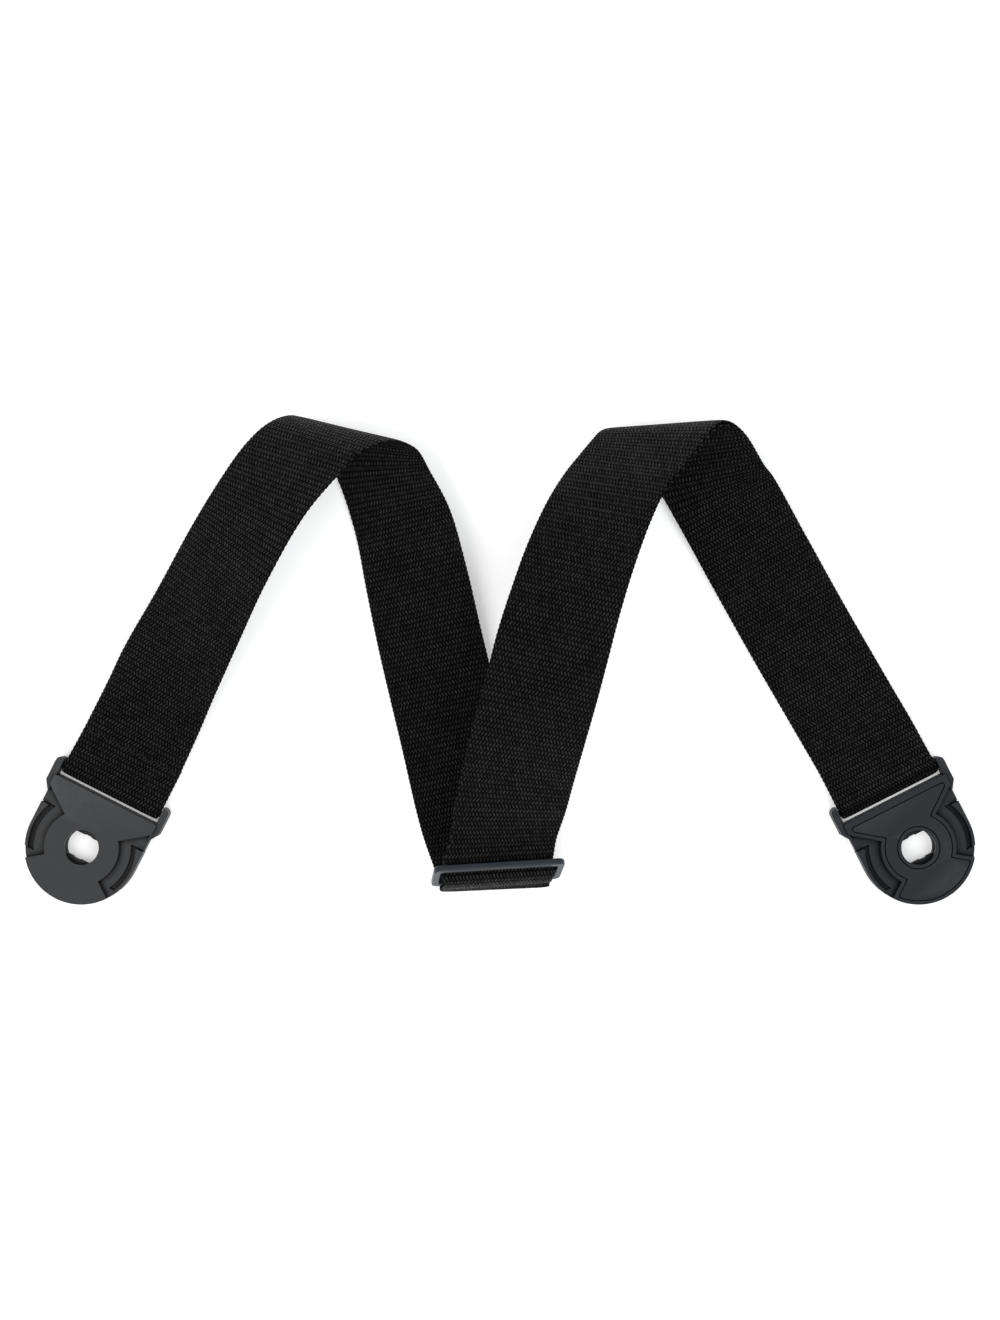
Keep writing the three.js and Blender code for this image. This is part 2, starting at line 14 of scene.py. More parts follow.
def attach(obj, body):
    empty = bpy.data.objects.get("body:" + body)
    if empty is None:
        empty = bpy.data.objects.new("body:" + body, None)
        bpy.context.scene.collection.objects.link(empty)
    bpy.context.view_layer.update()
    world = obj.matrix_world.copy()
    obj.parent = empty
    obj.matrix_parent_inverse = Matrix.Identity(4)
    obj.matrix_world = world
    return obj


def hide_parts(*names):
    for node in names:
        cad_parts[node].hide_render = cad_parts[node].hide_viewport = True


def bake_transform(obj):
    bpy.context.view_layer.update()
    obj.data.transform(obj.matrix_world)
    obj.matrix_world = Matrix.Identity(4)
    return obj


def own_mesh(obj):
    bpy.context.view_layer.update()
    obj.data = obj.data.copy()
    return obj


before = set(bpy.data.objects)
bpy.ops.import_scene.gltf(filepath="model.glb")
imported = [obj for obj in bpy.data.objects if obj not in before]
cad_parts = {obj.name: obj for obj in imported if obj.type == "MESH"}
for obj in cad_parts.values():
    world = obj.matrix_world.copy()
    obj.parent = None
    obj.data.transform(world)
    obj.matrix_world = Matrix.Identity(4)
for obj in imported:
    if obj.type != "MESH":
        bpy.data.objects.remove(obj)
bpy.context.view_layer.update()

MM = 0.001

# ---------------------------------------------------------------- sizes, in millimetres
GAP = 0.3
WEBBING_HALF = 25.0
WEBBING_THICKNESS = 1.5
LAYER_PITCH = WEBBING_THICKNESS + GAP
TAIL_LENGTH = 22.0
WEAVE_ROW = 2.3  # along the webbing
WEAVE_GRAIN = 1.55  # across it

END_RADIUS = 26.5
PLATE_TOP = 25.0
LUG_INNER = 25.8
LUG_OUTER = 29.2
LUG_BOTTOM = 17.0
LUG_TOP = 33.6
LUG_HALF_HEIGHT = 3.5
BAR_SEAT = 1.8
GROOVE_INSET = 1.5
GROOVE_WIDTH = 0.5
GROOVE_DEPTH = 0.7
RING_GROOVE_RADIUS = 9.6
BAR_Y = 30.1
BAR_RADIUS = 1.6
HOLE_RADIUS = 8.1
FACE_Z = 4.5
POCKET_Z = 2.1
POCKET_HALF_ANGLE = 37.0
POCKET_RADIUS = 17.4
CHANNEL_Z = 1.3
FLOOR_RADIUS = 22.7
GRIP_RADIUS = 25.0
GRIP_HALF_WIDTH = 11.0
GRIP_Z = 3.9
TONGUE_Z = 1.0
WEB_RADIUS = 21.5
WEB_ROOM = 2.3
TONGUE_TIP_X = 10.4
TONGUE_TIP_HALF = 3.0
TONGUE_HALF = 7.5
CAM_SLOPE = 1.2
JAW_FLAT_Y = 5.5
JAW_BACK_Y = 12.5
JAW_TRAVEL = 2.4
CLEARANCE = 0.4  # between a sliding piece and the walls beside it
SPRING_ROOM = 0.7  # beyond the jaws' travel
SPRING_SPACE_X = 1.42
JAW_HALF_WIDTH = 15.5
JAW_NOTCH_HALF = 1.6
JAW_NOTCH_DEPTH = 0.4
SPRING_END_Y = 18.0

END_HOLE_X = 194.6
END_HOLE_Y = -87.2
END_TURN = 26.9

SLIDER_CENTRE = Vector((-1, -97.9, 15.9))
SLIDER_ACROSS = Vector((1, 0.045, -0.15)).normalized()
SLIDER_TILT = 64.0
SLIDER_WIDTH = 60.5
SLIDER_HEIGHT = 21.0
SLIDER_THICKNESS = 3.0
SLIDER_SIDE_BAR = 3.4
SLIDER_BAR = 3.5
SLIDER_CENTRE_BAR_RADIUS = 1.2
SLIDER_CORNER = 3.0

# ---------------------------------------------------------------- places
LEFT_TURN = Matrix.Rotation(-math.radians(END_TURN), 4, "Z")
LEFT_END = Matrix.Translation((-END_HOLE_X, END_HOLE_Y, FACE_Z)) @ LEFT_TURN
RIGHT_END = (
    Matrix.Translation((END_HOLE_X, END_HOLE_Y, FACE_Z))
    @ Matrix.Rotation(math.radians(END_TURN), 4, "Z")
    @ Matrix.Rotation(math.pi, 4, "Y")
)


def slider_place():
    tilt = math.radians(SLIDER_TILT)
    up = Vector((0, math.cos(tilt), math.sin(tilt)))
    up = (up - SLIDER_ACROSS * up.dot(SLIDER_ACROSS)).normalized()
    out = SLIDER_ACROSS.cross(up)
    turn = Matrix((SLIDER_ACROSS, up, out)).transposed().to_4x4()
    return Matrix.Translation(SLIDER_CENTRE) @ turn


SLIDER = slider_place()

# ---------------------------------------------------------------- materials


class Graph:
    """A material's node tree, with short ways to add its nodes."""

    def __init__(self, name):
        self.material = bpy.data.materials.new(name)
        self.material.use_nodes = True
        self.tree = self.material.node_tree
        self.shader = self.tree.nodes["Principled BSDF"]

    def node(self, kind, inputs=None, **settings):
        made = self.tree.nodes.new(kind)
        for key, value in settings.items():
            setattr(made, key, value)
        for key, value in (inputs or {}).items():
            self.put(made.inputs[key], value)
        return made

    def put(self, socket, value):
        if isinstance(value, bpy.types.NodeSocket):
            self.tree.links.new(value, socket)
        else:
            socket.default_value = value

    def math(self, operation, *values):
        made = self.node("ShaderNodeMath", operation=operation)
        for socket, value in zip(made.inputs, values):
            self.put(socket, value)
        return made.outputs[0]

    def noise(self, vector, scale, detail=3.0, roughness=0.55):
        inputs = {"Vector": vector, "Scale": scale, "Detail": detail, "Roughness": roughness}
        return self.node("ShaderNodeTexNoise", inputs).outputs["Fac"]

    def between(self, value, low, high):
        """value from 0 to 1 turned into low to high."""
        return self.math("MULTIPLY_ADD", value, high - low, low)

    def mix(self, factor, first, second):
        made = self.node("ShaderNodeMix", data_type="RGBA")
        self.put(made.inputs["Factor"], factor)
        self.put(made.inputs["A"], first)
        self.put(made.inputs["B"], second)
        return made.outputs["Result"]

    def bump(self, height, distance, under=None):
        inputs = {"Height": height, "Distance": distance, "Strength": 1.0}
        if under is not None:
            inputs["Normal"] = under
        return self.node("ShaderNodeBump", inputs).outputs["Normal"]

    def finish(self, **sockets):
        for key, value in sockets.items():
            self.put(self.shader.inputs[key.replace("_", " ")], value)
        return self.material


def grey(value):
    return (value, value, value, 1)


def webbing_material():
    """Herringbone webbing: rows of short slanted yarns that lean one way, then the other, with painted light
    on the yarn crowns and painted shade in the gaps between them.
    """
    g = Graph("webbing")
    uv = g.node("ShaderNodeUVMap", uv_map="webbing").outputs["UV"]
    split = g.node("ShaderNodeSeparateXYZ", {"Vector": uv})
    across = g.math("DIVIDE", split.outputs["X"], WEAVE_GRAIN * MM)
    weft = g.math("MULTIPLY", g.math("SINE", g.math("MULTIPLY", across, 2 * math.pi)), 0.05)
    along = g.math("ADD", g.math("DIVIDE", split.outputs["Y"], WEAVE_ROW * MM), weft)
    row = g.math("FLOOR", along)
    in_row = g.math("FRACT", along)
    lean = g.math("MULTIPLY_ADD", g.math("MODULO", g.math("ABSOLUTE", row), 2.0), 2.0, -1.0)
    slant = g.math("MULTIPLY", g.math("MULTIPLY", g.math("SUBTRACT", in_row, 0.5), lean), 0.5)
    across = g.math("ADD", g.math("ADD", across, slant), g.math("MULTIPLY", row, 0.5))
    yarn = g.math("FLOOR", across)
    in_yarn = g.math("FRACT", across)
    crown = g.math("POWER", g.math("SINE", g.math("MULTIPLY", in_yarn, math.pi)), 1.2)
    swell = g.math("POWER", g.math("SINE", g.math("MULTIPLY", in_row, math.pi)), 0.8)
    height = g.math("MULTIPLY", crown, swell)
    cell = g.node("ShaderNodeCombineXYZ", {"X": yarn, "Y": row}).outputs[0]
    odd = g.node("ShaderNodeTexWhiteNoise", {"Vector": cell}, noise_dimensions="2D").outputs["Value"]
    fibres = g.node("ShaderNodeCombineXYZ", {"X": g.math("MULTIPLY", across, 9.0), "Y": along}).outputs[0]
    strand = g.noise(fibres, 1.0, 2.0)
    broad = g.noise(uv, 60.0, 2.0)
    # Painted light and shade: yarn height makes the crowns lighter and the gaps darker, in colour and
    # specular level; the per-yarn, fibre and broad noises are real tone.
    light = g.math("MULTIPLY", height, g.between(odd, 0.55, 1.05))
    light = g.math("MULTIPLY", light, g.between(strand, 0.5, 1.4))
    light = g.math("MULTIPLY", light, g.between(broad, 0.7, 1.3))
    colour = g.mix(light, grey(0.0008), (0.0135, 0.013, 0.0125, 1))
    gloss = g.math("MULTIPLY", light, 0.24)
    relief = g.math("ADD", height, g.math("MULTIPLY", strand, 0.16))
    relief = g.math("ADD", relief, g.math("MULTIPLY", odd, 0.22))
    normal = g.bump(relief, 0.7 * MM)
    rough = g.between(strand, 0.42, 0.68)
    return g.finish(Base_Color=colour, Roughness=rough, Normal=normal, Specular_IOR_Level=gloss)


def thread_material():
    """Twisted black thread."""
    g = Graph("thread")
    place = g.node("ShaderNodeTexCoord").outputs["Object"]
    ply = g.node("ShaderNodeTexWave", {"Vector": place, "Scale": 900.0, "Distortion": 1.5, "Detail": 1.0})
    colour = g.mix(ply.outputs["Fac"], grey(0.0015), grey(0.009))
    normal = g.bump(ply.outputs["Fac"], 0.08 * MM)
    return g.finish(Base_Color=colour, Roughness=0.55, Normal=normal, Specular_IOR_Level=0.2)


def plastic_material(name, colour, roughness):
    """Moulded plastic: a fine spark-eroded texture, faint mottling, paler rubbed edges, and painted shade
    that darkens its recesses and dims their reflection.
    """
    g = Graph(name)
    place = g.node("ShaderNodeTexCoord").outputs["Object"]
    grain = g.noise(place, 2600.0, 2.0)
    mottle = g.noise(place, 90.0, 4.0)
    rub = g.noise(place, 400.0, 3.0)
    edge = g.node("ShaderNodeNewGeometry").outputs["Pointiness"]
    limits = {"Value": edge, "From Min": 0.53, "From Max": 0.66}
    edge = g.node("ShaderNodeMapRange", limits).outputs["Result"]
    wear = g.math("MULTIPLY", edge, g.between(rub, 0.1, 0.9))
    dark = tuple(c * 0.86 for c in colour) + (1,)
    pale = tuple(c * 1.12 for c in colour) + (1,)
    worn = tuple(c * 1.9 + 0.01 for c in colour) + (1,)
    base = g.mix(wear, g.mix(mottle, dark, pale), worn)
    # Painted shade: an ambient occlusion term darkens the colour towards near black and lowers the specular
    # level in pockets, grooves and other recesses.
    open_sky = g.node("ShaderNodeAmbientOcclusion", {"Distance": 3.0 * MM}, samples=8).outputs["AO"]
    openness_for_painted_shade = g.math("POWER", open_sky, 1.6)
    base = g.mix(openness_for_painted_shade, grey(0.002), base)
    shine = g.math("MULTIPLY", openness_for_painted_shade, 0.23)
    rough = g.between(mottle, roughness - 0.07, roughness + 0.07)
    rough = g.math("ADD", rough, g.math("MULTIPLY", wear, -0.1))
    normal = g.bump(grain, 0.03 * MM)
    return g.finish(Base_Color=base, Roughness=rough, Normal=normal, Specular_IOR_Level=shine)


def steel_material():
    g = Graph("spring_steel")
    place = g.node("ShaderNodeTexCoord").outputs["Object"]
    drawn = g.noise(place, 3000.0, 2.0)
    colour = g.mix(drawn, grey(0.42), grey(0.6))
    return g.finish(Base_Color=colour, Metallic=1.0, Roughness=g.between(drawn, 0.25, 0.45))


WEBBING_LOOK = webbing_material()
THREAD_LOOK = thread_material()
LEFT_LOOK = plastic_material("left_end_plastic", (0.0195, 0.0203, 0.022), 0.5)
RIGHT_LOOK = plastic_material("right_end_plastic", (0.0052, 0.0068, 0.0092), 0.52)
SLIDER_LOOK = plastic_material("slider_plastic", (0.015, 0.02, 0.026), 0.34)
STEEL_LOOK = steel_material()

# ---------------------------------------------------------------- meshes


def mesh_object(name, vertices, faces, look, place=None):
    """A mesh object from points in millimetres, put in place and turned into metres."""
    mesh = bpy.data.meshes.new(name)
    mesh.from_pydata([tuple(v) for v in vertices], [], [tuple(f) for f in faces])
    mesh.transform(Matrix.Scale(MM, 4) @ (place or Matrix.Identity(4)))
    if place is not None and place.determinant() < 0:
        mesh.flip_normals()
    mesh.materials.append(look)
    made = bpy.data.objects.new(name, mesh)
    bpy.context.scene.collection.objects.link(made)
    return made


def prism(points, low, high, top_points=None):
    """A scratch object, in millimetres: an outline carried from low to high, with another outline on top."""
    top_points = top_points or points
    count = len(points)
    vertices = [(x, y, low) for x, y in points] + [(x, y, high) for x, y in top_points]
    faces = [tuple(reversed(range(count))), tuple(range(count, 2 * count))]
    for i in range(count):
        j = (i + 1) % count
        faces.append((i, j, count + j, count + i))
    mesh = bpy.data.meshes.new("scratch")
    mesh.from_pydata(vertices, [], faces)
    made = bpy.data.objects.new("scratch", mesh)
    bpy.context.scene.collection.objects.link(made)
    tidy = bmesh.new()
    tidy.from_mesh(mesh)
    bmesh.ops.recalc_face_normals(tidy, faces=tidy.faces)
    tidy.to_mesh(mesh)
    tidy.free()
    return made


def combine(body, others, operation):
    for other in others:
        step = body.modifiers.new("cut", "BOOLEAN")
        step.operation = operation
        step.solver = "EXACT"
        step.object = other
        apply_modifiers(body)
        bpy.data.objects.remove(other)
    return body


def apply_modifiers(obj):
    graph = bpy.context.evaluated_depsgraph_get()
    mesh = bpy.data.meshes.new_from_object(obj.evaluated_get(graph))
    obj.modifiers.clear()
    old, obj.data = obj.data, mesh
    bpy.data.meshes.remove(old)


def finished(obj, name, look, place, edge, segments=3):
    """Edges rounded, turned to metres in its place, and shaded smooth up to 30 degrees."""
    tidy = bmesh.new()
    tidy.from_mesh(obj.data)
    bmesh.ops.remove_doubles(tidy, verts=tidy.verts, dist=1e-4)
    bmesh.ops.dissolve_limit(tidy, angle_limit=math.radians(0.5), verts=tidy.verts, edges=tidy.edges)
    tidy.to_mesh(obj.data)
    tidy.free()
    rounding = obj.modifiers.new("edges", "BEVEL")
    rounding.width = edge
    rounding.segments = segments
    rounding.limit_method = "ANGLE"
    rounding.angle_limit = math.radians(32)
    rounding.use_clamp_overlap = True
    rounding.harden_normals = True
    apply_modifiers(obj)
    obj.data.transform(Matrix.Scale(MM, 4) @ place)
    obj.data.materials.clear()
    obj.data.materials.append(look)
    obj.data.shade_smooth()
    obj.data.set_sharp_from_angle(angle=math.radians(30))
    flat = obj.modifiers.new("flat faces", "WEIGHTED_NORMAL")
    flat.mode = "FACE_AREA"
    flat.keep_sharp = True
    apply_modifiers(obj)
    obj.name = name
    obj.data.name = name
    return obj


def arc(radius, start, end, steps=24, centre=(0, 0)):
    """Points on a circle from one angle to another, in degrees."""
    angles = np.radians(np.linspace(start, end, steps + 1))
    return [(centre[0] + radius * math.cos(a), centre[1] + radius * math.sin(a)) for a in angles]


def circle(radius, steps=64):
    return arc(radius, 0, 360, steps)[:-1]


def rectangle(x0, x1, y0, y1):
    return [(x0, y0), (x1, y0), (x1, y1), (x0, y1)]


def mirrored(points, side):
    return points if side > 0 else [(-x, y) for x, y in reversed(points)]


def softened(points, radius, sharp=25):
    """The closed outline with each corner sharper than so many degrees replaced by a curve."""
    made = []
    count = len(points)
    for i, corner in enumerate(points):
        here = np.array(corner)
        before = np.array(points[i - 1]) - here
        after = np.array(points[(i + 1) % count]) - here
        length = (np.linalg.norm(before), np.linalg.norm(after))
        turn = math.degrees(math.acos(np.clip(-before @ after / (length[0] * length[1]), -1, 1)))
        if turn < sharp:
            made.append(corner)
            continue
        start = here + before * min(0.45, radius / length[0])
        end = here + after * min(0.45, radius / length[1])
        for t in np.linspace(0, 1, 6):
            made.append(tuple((1 - t) ** 2 * start + 2 * t * (1 - t) * here + t**2 * end))
    return made


# ---------------------------------------------------------------- locking end
def end_outline(grow=0.0):
    lower = arc(END_RADIUS + grow, 180, 360, 60)
    return lower + [(END_RADIUS + grow, PLATE_TOP + grow), (-END_RADIUS - grow, PLATE_TOP + grow)]


def pocket(side, inner_radius, half_angle):
    inner = arc(inner_radius, half_angle, -half_angle, 24)
    reach = 40.0
    a = math.radians(half_angle)
    outer = [(reach * math.cos(a), -reach * math.sin(a)), (reach * math.cos(a), reach * math.sin(a))]
    return mirrored(inner + outer, side)


def pocket_cutter(side, face, slope):
    """One finger pocket: face 1 is the outer face and -1 the inner face; slope leans its walls outwards."""
    floor = pocket(side, POCKET_RADIUS + slope, POCKET_HALF_ANGLE - 1.6 * slope)
    mouth = pocket(side, POCKET_RADIUS - slope * 0.4, POCKET_HALF_ANGLE + 0.8 * slope)
    depth = FACE_Z - POCKET_Z
    mouth_z = face * (FACE_Z + depth * 0.6)
    if face > 0:
        return prism(floor, POCKET_Z, mouth_z, mouth)
    return prism(mouth, mouth_z, -POCKET_Z, floor)


def lug(side):
    points = [
        (LUG_INNER, LUG_BOTTOM),
        (END_RADIUS, LUG_BOTTOM),
        (LUG_OUTER, LUG_BOTTOM + 4),
        (LUG_OUTER, LUG_TOP - 3),
        *arc(2.6, 0, 90, 6, (LUG_OUTER - 2.6, LUG_TOP - 2.6))[1:-1],
        (LUG_INNER, LUG_TOP),
    ]
    return mirrored(points, side)


def bar(radius, half_length):
    made = prism(circle(radius, 28), -half_length, half_length)
    made.data.transform(Matrix.Translation((0, BAR_Y, 0)) @ Matrix.Rotation(math.pi / 2, 4, "Y"))
    return made


def mechanism_space():
    half = TONGUE_HALF + CLEARANCE
    jaw_x = JAW_HALF_WIDTH + CLEARANCE
    jaw_y = JAW_BACK_Y + JAW_TRAVEL + SPRING_ROOM
    spring_y = SPRING_END_Y + 0.2
    space = prism(rectangle(-40, 40, -half, half), -CHANNEL_Z, CHANNEL_Z)
    others = [
        prism(rectangle(-jaw_x, jaw_x, -jaw_y, jaw_y), -CHANNEL_Z, CHANNEL_Z),
        prism(rectangle(-SPRING_SPACE_X, SPRING_SPACE_X, -spring_y, spring_y), -CHANNEL_Z, CHANNEL_Z),
    ]
    notch_y = GRIP_HALF_WIDTH + CLEARANCE
    for radius, height in ((FLOOR_RADIUS, FACE_Z + 1), (WEB_RADIUS - WEB_ROOM, CHANNEL_Z)):
        a = math.degrees(math.asin(notch_y / radius))
        for side in (1, -1):
            notch = arc(radius, a, -a, 24) + [(45, -notch_y), (45, notch_y)]
            others.append(prism(mirrored(notch, side), -height, height))
    return combine(space, others, "UNION")


def panel(inset):
    """The raised part of the face, between the pockets, drawn in from its edges."""
    a = math.radians(POCKET_HALF_ANGLE)
    along = np.array([math.cos(a), math.sin(a)])
    beside = inset * np.array([-math.sin(a), math.cos(a)])
    inner = POCKET_RADIUS - inset
    outer = END_RADIUS - inset
    side = END_RADIUS - 0.9 - inset
    top = PLATE_TOP - inset - 1.1
    start = math.sqrt(inner**2 - inset**2)
    reach = (side - beside[0]) / along[0]
    rim = math.sqrt(outer**2 - inset**2)
    upper_in = beside + along * start
    upper_out = beside + along * reach
    lower_in = (upper_in[0], -upper_in[1])
    lower_out = beside + along * rim
    lower_out = (lower_out[0], -lower_out[1])
    in_angle = math.degrees(math.atan2(upper_in[1], upper_in[0]))
    out_angle = math.degrees(math.atan2(lower_out[1], lower_out[0]))
    right = [(side, top), tuple(upper_out), tuple(upper_in)]
    right += arc(inner, in_angle, -in_angle, 16)[1:-1]
    right += [tuple(lower_in), tuple(lower_out)]
    right += arc(outer, out_angle, -90, 24)[1:]
    left = [(-x, y) for x, y in reversed(right[:-1])]
    return softened(list(reversed(right + left)), 1.6)


def groove(inset, width, low, high):
    ring = prism(panel(inset), low, high)
    return combine(ring, [prism(panel(inset + width), low - 1, high + 1)], "DIFFERENCE")


def ring_groove(radius, width, low, high):
    ring = prism(circle(radius + width), low, high)
    return combine(ring, [prism(circle(radius), low - 1, high + 1)], "DIFFERENCE")


def inner_shell(name, look, place):
    seam = -GAP / 2
    body = prism(end_outline(), -FACE_Z, seam)
    cuts = [prism(circle(HOLE_RADIUS), -FACE_Z - 1, 1), mechanism_space()]
    cuts += [pocket_cutter(side, -1, 0.9) for side in (1, -1)]
    low, high = -FACE_Z - 1, -FACE_Z + GROOVE_DEPTH
    cuts.append(groove(GROOVE_INSET, GROOVE_WIDTH, low, high))
    cuts.append(ring_groove(RING_GROOVE_RADIUS, GROOVE_WIDTH, low, high))
    combine(body, cuts, "DIFFERENCE")
    lugs = [prism(lug(side), -LUG_HALF_HEIGHT, seam) for side in (1, -1)]
    combine(body, lugs + [bar(BAR_RADIUS, LUG_INNER + BAR_SEAT)], "UNION")
    return finished(body, name, look, place, 0.45)


def outer_shell(name, look, place):
    seam = GAP / 2
    body = prism(end_outline(), seam, FACE_Z)
    cuts = [prism(circle(HOLE_RADIUS), -1, FACE_Z + 1), mechanism_space()]
    cuts += [pocket_cutter(side, 1, 0.25) for side in (1, -1)]
    combine(body, cuts, "DIFFERENCE")
    combine(body, [prism(lug(side), seam, LUG_HALF_HEIGHT) for side in (1, -1)], "UNION")
    combine(body, [bar(BAR_RADIUS + GAP, LUG_INNER + BAR_SEAT + GAP)], "DIFFERENCE")
    return finished(body, name, look, place, 0.4)


def grip(name, look, place, side):
    inner = math.degrees(math.asin(GRIP_HALF_WIDTH / GRIP_RADIUS))
    lower = -math.degrees(math.asin(GRIP_HALF_WIDTH / END_RADIUS))
    lip = arc(GRIP_RADIUS, inner, -inner, 24)
    outer = arc(END_RADIUS, lower, 0, 14) + [(END_RADIUS, GRIP_HALF_WIDTH)]
    body = prism(mirrored(lip + outer, side), -GRIP_Z, GRIP_Z)
    shoulder = TONGUE_TIP_X + (TONGUE_HALF - TONGUE_TIP_HALF) / CAM_SLOPE
    tongue = [
        (TONGUE_TIP_X, -TONGUE_TIP_HALF),
        (shoulder, -TONGUE_HALF),
        (GRIP_RADIUS + 0.4, -TONGUE_HALF),
        (GRIP_RADIUS + 0.4, TONGUE_HALF),
        (shoulder, TONGUE_HALF),
        (TONGUE_TIP_X, TONGUE_TIP_HALF),
    ]
    a = math.degrees(math.asin(GRIP_HALF_WIDTH / WEB_RADIUS))
    b = math.degrees(math.asin(GRIP_HALF_WIDTH / (GRIP_RADIUS + 0.5)))
    web = arc(WEB_RADIUS, a, -a, 20) + arc(GRIP_RADIUS + 0.5, -b, b, 20)
    joined = [prism(mirrored(outline, side), -TONGUE_Z, TONGUE_Z) for outline in (web, tongue)]
    combine(body, joined, "UNION")
    return finished(body, name, look, place, 0.3)


def jaw(name, look, place, side):
    cam_x = TONGUE_TIP_X + (JAW_FLAT_Y - TONGUE_TIP_HALF - 0.45) / CAM_SLOPE
    cam_y = JAW_FLAT_Y + (JAW_HALF_WIDTH - cam_x) * CAM_SLOPE
    half = [
        (JAW_NOTCH_HALF, JAW_FLAT_Y + JAW_NOTCH_DEPTH),
        (JAW_NOTCH_HALF, JAW_FLAT_Y),
        (cam_x, JAW_FLAT_Y),
        (JAW_HALF_WIDTH, cam_y),
        (JAW_HALF_WIDTH, JAW_BACK_Y),
    ]
    outline = half + [(-x, y) for x, y in reversed(half)]
    body = prism([(x, side * y) for x, y in outline], -TONGUE_Z, TONGUE_Z)
    return finished(body, name, look, place, 0.25)


def locking_end(prefix, place, look):
    body = prefix + "_end"
    made = {
        "inner_shell": inner_shell(prefix + "_inner_shell_detail", look, place),
        "outer_shell": outer_shell(prefix + "_outer_shell_detail", look, place),
        "grip_a": grip(prefix + "_grip_a_detail", look, place, -1),
        "grip_b": grip(prefix + "_grip_b_detail", look, place, 1),
        "upper_jaw": jaw(prefix + "_upper_jaw_detail", look, place, 1),
        "lower_jaw": jaw(prefix + "_lower_jaw_detail", look, place, -1),
    }
    for part, obj in made.items():
        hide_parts(prefix + "_" + part)
        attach(obj, body if part.endswith("shell") else prefix + "_" + part)


locking_end("left", LEFT_END, LEFT_LOOK)
locking_end("right", RIGHT_END, RIGHT_LOOK)



def jaw_springs(prefix):
    """Each CAD spring gets spring steel, smooth shading and a mesh of its own."""
    for name, side in (("upper", 1), ("lower", -1)):
        node = bpy.data.objects[f"{prefix}_{name}_spring"]
        node.data.materials.clear()
        node.data.materials.append(STEEL_LOOK)
        node.data.shade_smooth()
        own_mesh(node)


jaw_springs("left")
jaw_springs("right")


# ---------------------------------------------------------------- slider
def rounded_rectangle(width, height, radius):
    x = width / 2 - radius
    y = height / 2 - radius
    corners = [((x, -y), -90), ((x, y), 0), ((-x, y), 90), ((-x, -y), 180)]
    return [p for centre, start in corners for p in arc(radius, start, start + 90, 8, centre)]


def slider_frame():
    half = SLIDER_THICKNESS / 2
    body = prism(rounded_rectangle(SLIDER_WIDTH, SLIDER_HEIGHT, SLIDER_CORNER), -half, half)
    inner = rounded_rectangle(SLIDER_WIDTH - 2 * SLIDER_SIDE_BAR, SLIDER_HEIGHT - 2 * SLIDER_BAR, 0.8)
    combine(body, [prism(inner, -half - 1, half + 1)], "DIFFERENCE")
    reach = (SLIDER_WIDTH - SLIDER_SIDE_BAR) / 2
    centre_bar = prism(circle(SLIDER_CENTRE_BAR_RADIUS, 20), -reach, reach)
    centre_bar.data.transform(Matrix.Rotation(math.pi / 2, 4, "Y"))
    combine(body, [centre_bar], "UNION")
    return finished(body, "slider_frame_detail", SLIDER_LOOK, SLIDER, 0.75, 4)


slider = slider_frame()
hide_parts("slider_frame")
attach(slider, "slider")

# ---------------------------------------------------------------- webbing
# Each row is a line across the webbing: its left edge, then its right edge.
LEFT_STRAND = [
    (-183.4, -9.5, 3, -139.5, -33, 8),
    (-175.6, 6, 5, -132.5, -18.5, 14),
    (-158.6, 33.2, 12, -118.6, 8.2, 28),
    (-141.7, 60.8, 21.5, -104.5, 34.2, 43),
    (-128, 82, 25.5, -86.5, 64, 50),
]
FIRST_PEAK = [
    (-117, 98, 24, -71.5, 82, 50),
    (-108, 107.5, 21, -62.5, 92, 47),
    (-101, 111.9, 16.5, -55, 96.5, 43),
    (-96, 113.1, 11, -48.5, 98.5, 38),
    (-92, 111, 6, -42.5, 98, 33),
    (-87, 105.5, 2.8, -37, 95, 29),
]
MIDDLE_STRAND = [
    (-76, 84, 1.2, -32, 86.5, 26),
    (-68, 59.5, 1.1, -23, 69.5, 20),
    (-62.5, 31.4, 1.1, -15.2, 42.5, 14.5),
    (-56.8, 3.8, 1, -8.8, 15, 9.5),
    (-46.9, -38.3, 0.9, 1.6, -27.3, 4),
    (-37, -80, 0.9, 11.7, -68, 1.4),
    (-31, -97.5, 1.05, 18, -92, 1.1),
]
LOWER_FOLD = [
    (-29, -103.2, 2.6, 20.8, -102.2, 1.15),
    (-28, -107.2, 8, 23, -105.6, 3.4),
]
THROUGH_SLIDER = [(-8.7, 3.1), (-4, 4.2), (0, 4.2), (2.8, 2.9), (4.5, 0), (6.5, -2.7), (9, -3.3)]
RIGHT_MIDDLE_STRAND = [
    (-22.8, -83.2, 28.5, 26, -82.2, 20.5),
    (-20.7, -67.2, 36, 30, -69.2, 27.5),
    (-17.2, -51, 41.8, 33, -57, 34.2),
    (-11.9, -28.5, 50.2, 37.7, -38, 47.8),
    (-6.3, -7.2, 54.5, 42.6, -19.2, 56),
    (-1.2, 12.8, 55.5, 47.4, 0.3, 61),
    (5.1, 32.4, 51, 52.2, 20.4, 64),
    (12.2, 52, 45.5, 58, 40.5, 64.5),
    (21.2, 71.5, 38.5, 65.7, 61.5, 60),
    (29.3, 84.8, 30.5, 73, 76.3, 54),
]
SECOND_PEAK = [
    (36, 93.5, 24.5, 81, 85.5, 48.5),
    (42, 101, 19, 89, 96, 42),
    (46, 105.5, 14.5, 96, 104.5, 35),
    (50, 107, 9.5, 102, 108.8, 27.5),
    (54, 104.5, 5, 108, 108, 21),
    (60, 98, 2, 114, 103, 17),
]
RIGHT_STRAND = [
    (74, 80, 1.2, 122.6, 90, 13),
    (84, 62.5, 1.1, 127, 85.5, 8.5),
    (99, 35, 1.1, 142.5, 59, 3.5),
    (118.6, 0, 1, 162, 24.6, 1.2),
    (139, -35.2, 1, 182.6, -11, 1),
]

